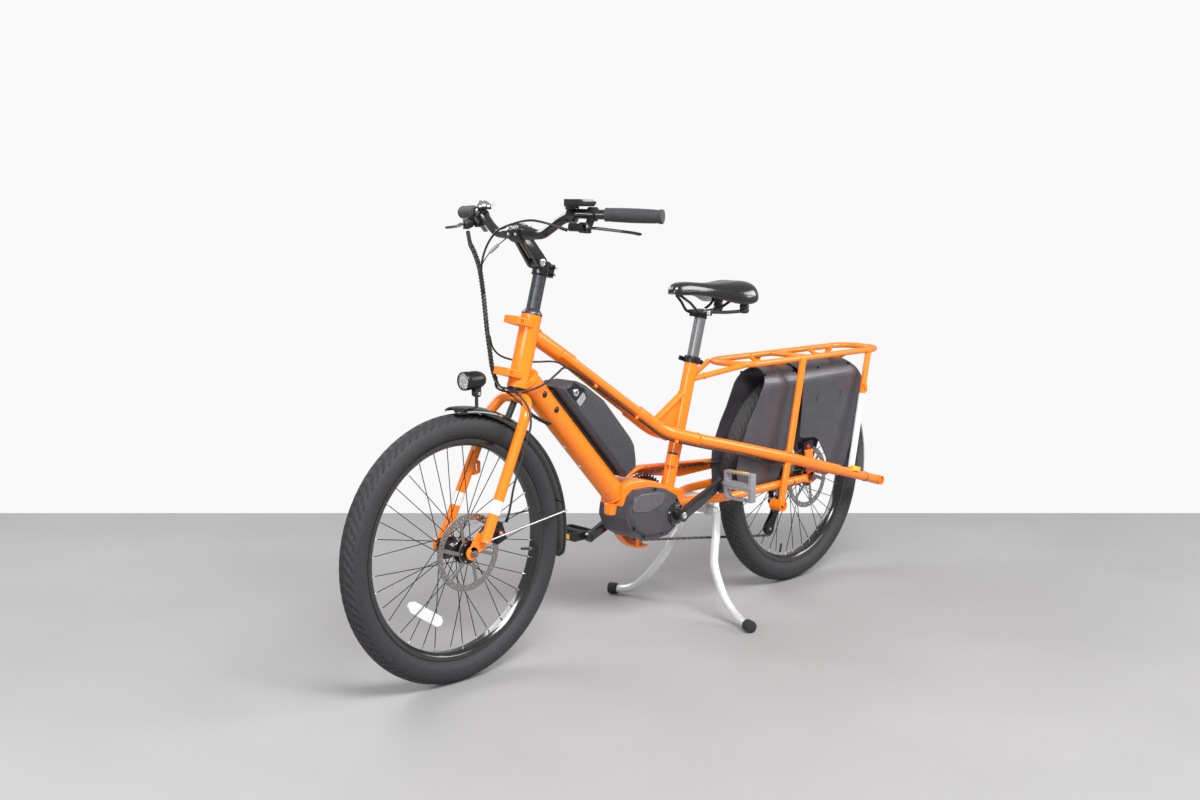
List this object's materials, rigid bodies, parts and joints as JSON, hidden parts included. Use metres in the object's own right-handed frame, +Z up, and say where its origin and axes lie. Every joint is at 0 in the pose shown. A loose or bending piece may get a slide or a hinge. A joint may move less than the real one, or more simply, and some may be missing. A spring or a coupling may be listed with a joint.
{
  "type": "longtail cargo bike",
  "caption": "Electric longtail cargo bicycle with a mid motor, a down tube battery, a long rear rack, side rails, wheel skirts, disc brakes and a folding centre stand.",
  "frame": {"origin": "centre of the bounding box's base, on the ground", "axes": "+X forwards along the bike, +Y to the rider's left, +Z up"},
  "size_m": [1.9298, 0.6998, 1.1104],
  "materials": {
    "frame_paint": "glossy orange paint",
    "skirt_plastic": "satin dark grey sheet",
    "black_plastic": "satin anthracite",
    "gloss_plastic": "glossy black",
    "black_metal": "black anodised",
    "silver_metal": "satin silver",
    "steel": "brushed",
    "tyre": "charcoal rubber",
    "grip_rubber": "dark grey rubber",
    "cable_rubber": "black cable sheath",
    "saddle_cover": "glossy black cover"
  },
  "bodies": {
    "frame": {"head_tube": "frame_paint", "down_tube": "frame_paint", "seat_tube": "frame_paint", "side_rails": "frame_paint", "chainstays": "frame_paint", "rack_deck": "frame_paint", "strut_left": "frame_paint", "strut_right": "frame_paint", "skirt_front": "skirt_plastic", "skirt_rear": "skirt_plastic", "rear_mudguard": "skirt_plastic", "battery_mount": "black_plastic", "motor_housing": "black_metal", "chain_guard": "frame_paint", "stand_bracket": "silver_metal", "seat_clamp": "black_metal", "rear_caliper": "black_metal", "rear_axle": "steel", "chain": "steel", "derailleur_body": "black_metal", "derailleur_cage": "black_metal"},
    "battery": {"battery": "black_plastic"},
    "seat_clamp_lever": {"seat_clamp_lever": "black_metal"},
    "stand": {"stand": "silver_metal"},
    "seat": {"seatpost": "silver_metal", "saddle_rails": "steel", "saddle": "saddle_cover"},
    "steering": {"fork": "frame_paint", "headset_lower": "black_metal", "spacer_stack": "black_metal", "stem_base": "black_metal", "front_mudguard": "gloss_plastic", "front_caliper": "black_metal", "front_axle": "steel", "cable_loom": "cable_rubber"},
    "headlamp": {"headlamp": "gloss_plastic"},
    "bars": {"stem_arm": "black_metal", "handlebar": "black_metal", "grip_left": "grip_rubber", "grip_right": "grip_rubber", "brake_perch_left": "black_metal", "brake_perch_right": "black_metal", "display": "gloss_plastic", "bell_dome": "black_metal"},
    "brake_lever_left": {"brake_lever_left": "black_metal"},
    "brake_lever_right": {"brake_lever_right": "black_metal"},
    "shift_lever": {"shift_lever": "black_metal"},
    "bell_lever": {"bell_lever": "steel"},
    "front_wheel": {"front_tyre": "tyre", "front_wheel": "black_metal", "front_rotor": "steel"},
    "rear_wheel": {"rear_tyre": "tyre", "rear_wheel": "black_metal", "rear_rotor": "steel"},
    "cassette": {"cassette": "steel"},
    "cranks": {"crank_left": "black_metal", "crank_right": "black_metal", "chainring": "black_metal"},
    "pedal_left": {"pedal_left": "black_plastic"},
    "pedal_right": {"pedal_right": "black_plastic"}
  },
  "joints": [
    {"name": "steering_turn", "type": "hinge", "parent": "frame", "child": "steering", "pos_m": [0.45986, 0, 0.669], "axis": [-0.2672, 0, 0.9636], "range_deg": [-45, 45], "deforming": ["cable_loom"]},
    {"name": "stem_tilt", "type": "hinge", "parent": "steering", "child": "bars", "pos_m": [0.3973, 0, 0.96194], "axis": [0, 1, 0], "range_deg": [-10, 20], "deforming": ["cable_loom"]},
    {"name": "front_wheel_spin", "type": "hinge", "parent": "steering", "child": "front_wheel", "pos_m": [0.65091, 0, 0.314], "axis": [0, 1, 0], "continuous": true},
    {"name": "rear_wheel_spin", "type": "hinge", "parent": "frame", "child": "rear_wheel", "pos_m": [-0.61809, 0, 0.314], "axis": [0, 1, 0], "continuous": true},
    {"name": "cassette_spin", "type": "hinge", "parent": "frame", "child": "cassette", "pos_m": [-0.61809, 0, 0.314], "axis": [0, 1, 0], "continuous": true},
    {"name": "crank_spin", "type": "hinge", "parent": "frame", "child": "cranks", "pos_m": [-0.03209, 0, 0.299], "axis": [0, 1, 0], "continuous": true},
    {"name": "pedal_left_spin", "type": "hinge", "parent": "cranks", "child": "pedal_left", "pos_m": [-0.18982, 0.141, 0.36241], "axis": [0, 1, 0], "continuous": true},
    {"name": "pedal_right_spin", "type": "hinge", "parent": "cranks", "child": "pedal_right", "pos_m": [0.12564, -0.141, 0.23559], "axis": [0, 1, 0], "continuous": true},
    {"name": "stand_fold", "type": "hinge", "parent": "frame", "child": "stand", "pos_m": [-0.21009, 0, 0.276], "axis": [0, 1, 0], "range_deg": [0, 95]},
    {"name": "brake_left", "type": "hinge", "parent": "bars", "child": "brake_lever_left", "pos_m": [0.43657, 0.20953, 1.0471], "axis": [0, 0, 1], "range_deg": [0, 12], "stiffness_Nm_per_rad": 1},
    {"name": "brake_right", "type": "hinge", "parent": "bars", "child": "brake_lever_right", "pos_m": [0.43657, -0.20953, 1.0471], "axis": [0, 0, -1], "range_deg": [0, 12], "stiffness_Nm_per_rad": 1},
    {"name": "shift_turn", "type": "hinge", "parent": "bars", "child": "shift_lever", "pos_m": [0.4221, -0.1802, 1.04245], "axis": [0, 0, -1], "range_deg": [0, 20], "stiffness_Nm_per_rad": 0.3},
    {"name": "bell_ring", "type": "hinge", "parent": "bars", "child": "bell_lever", "pos_m": [0.41162, -0.1496, 1.09122], "axis": [0, 0, 1], "range_deg": [0, 20], "stiffness_Nm_per_rad": 0.05},
    {"name": "lamp_tilt", "type": "hinge", "parent": "steering", "child": "headlamp", "pos_m": [0.58491, 0, 0.6679], "axis": [0, 1, 0], "range_deg": [-15, 15]},
    {"name": "seatpost_slide", "type": "slide", "parent": "frame", "child": "seat", "axis": [-0.2672, 0, 0.9636], "range_m": [-0.06, 0.04]},
    {"name": "seat_clamp_turn", "type": "hinge", "parent": "frame", "child": "seat_clamp_lever", "pos_m": [-0.19373, -0.0175, 0.67822], "axis": [0.2672, 0, -0.9636], "range_deg": [0, 110]},
    {"name": "battery_tilt", "type": "hinge", "parent": "frame", "child": "battery", "pos_m": [0.14216, 0, 0.41497], "axis": [0, -1, 0], "range_deg": [0, 3]}
  ],
  "couplings": [
    {"joint": "cassette_spin", "follows": "crank_spin", "ratio": 1.6071}
  ]
}
